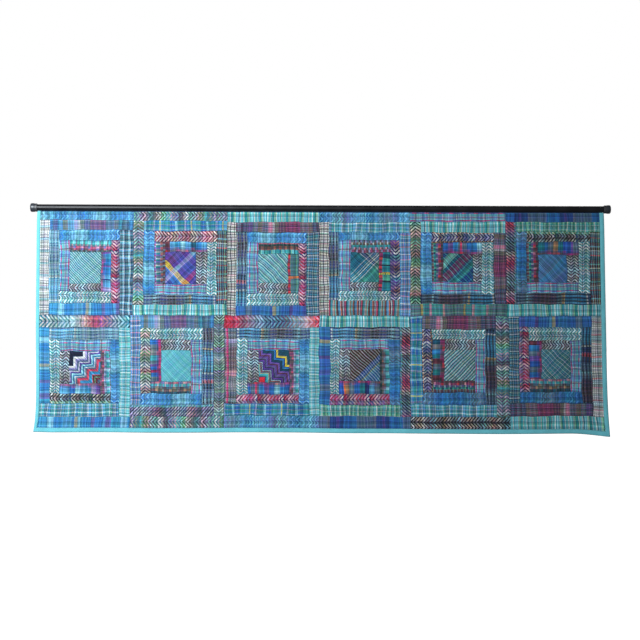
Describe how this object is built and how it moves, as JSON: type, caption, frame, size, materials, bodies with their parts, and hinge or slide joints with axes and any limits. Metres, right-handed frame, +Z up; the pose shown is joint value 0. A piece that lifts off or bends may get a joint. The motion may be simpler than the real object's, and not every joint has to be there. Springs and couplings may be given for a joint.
{
  "type": "quilt on a hanging rail",
  "caption": "Low, wide log-cabin patchwork quilt hanging from a slotted round black rail with capped ends, on small wall brackets behind it.",
  "frame": {"origin": "on the wall plane, at the middle bracket's back face, behind its hook screw", "axes": "+X along the rail to the quilt's right as seen from the front, +Y into the wall, +Z up; the quilt faces -Y"},
  "size_m": [2.2076, 0.0465, 0.8728],
  "materials": {
    "bracket_metal": "black powder coat",
    "screw_steel": "turned steel",
    "rail_black": "black anodised, satin",
    "collar_black": "black, matte",
    "cap_grey": "dark blue-grey, satin gloss",
    "rod_wood": "bare hardwood",
    "pocket_cloth": "plain woven cotton, navy",
    "patchwork": "pieced woven cottons: zigzag, herringbone, plaid and stripe in blues, aqua, red and grey",
    "batting": "needled cotton batting",
    "backing_cloth": "plain woven cotton, teal",
    "binding_cloth": "plain woven cotton, aqua"
  },
  "bodies": {
    "wall_brackets": {"wall_bracket_left": "bracket_metal", "hook_screw_left": "screw_steel", "wall_bracket_middle": "bracket_metal", "hook_screw_middle": "screw_steel", "wall_bracket_right": "bracket_metal", "hook_screw_right": "screw_steel"},
    "rail": {"rail_tube": "rail_black", "end_collar_left": "collar_black", "end_collar_right": "collar_black", "keder_rod": "rod_wood", "rod_pocket": "pocket_cloth"},
    "cap_left": {"end_cap_left": "cap_grey"},
    "cap_right": {"end_cap_right": "cap_grey"},
    "quilt": {"block_top_1": "patchwork", "block_top_2": "patchwork", "block_top_3": "patchwork", "block_top_4": "patchwork", "block_top_5": "patchwork", "block_top_6": "patchwork", "block_bottom_1": "patchwork", "block_bottom_2": "patchwork", "block_bottom_3": "patchwork", "block_bottom_4": "patchwork", "block_bottom_5": "patchwork", "block_bottom_6": "patchwork", "batting": "batting", "backing": "backing_cloth", "binding_left": "binding_cloth", "binding_right": "binding_cloth", "binding_bottom": "binding_cloth"}
  },
  "joints": [
    {"name": "rail_lift", "type": "slide", "parent": "wall_brackets", "child": "rail", "axis": [0, 0, 1], "range_m": [0, 0.007]},
    {"name": "quilt_swing", "type": "hinge", "parent": "rail", "child": "quilt", "pos_m": [0, -0.03, -0.0198], "axis": [-1, 0, 0], "range_deg": [-1.7, 75]},
    {"name": "cap_left_pull", "type": "slide", "parent": "rail", "child": "cap_left", "axis": [-1, 0, 0], "range_m": [0, 0.016]},
    {"name": "cap_right_pull", "type": "slide", "parent": "rail", "child": "cap_right", "axis": [1, 0, 0], "range_m": [0, 0.016]}
  ]
}
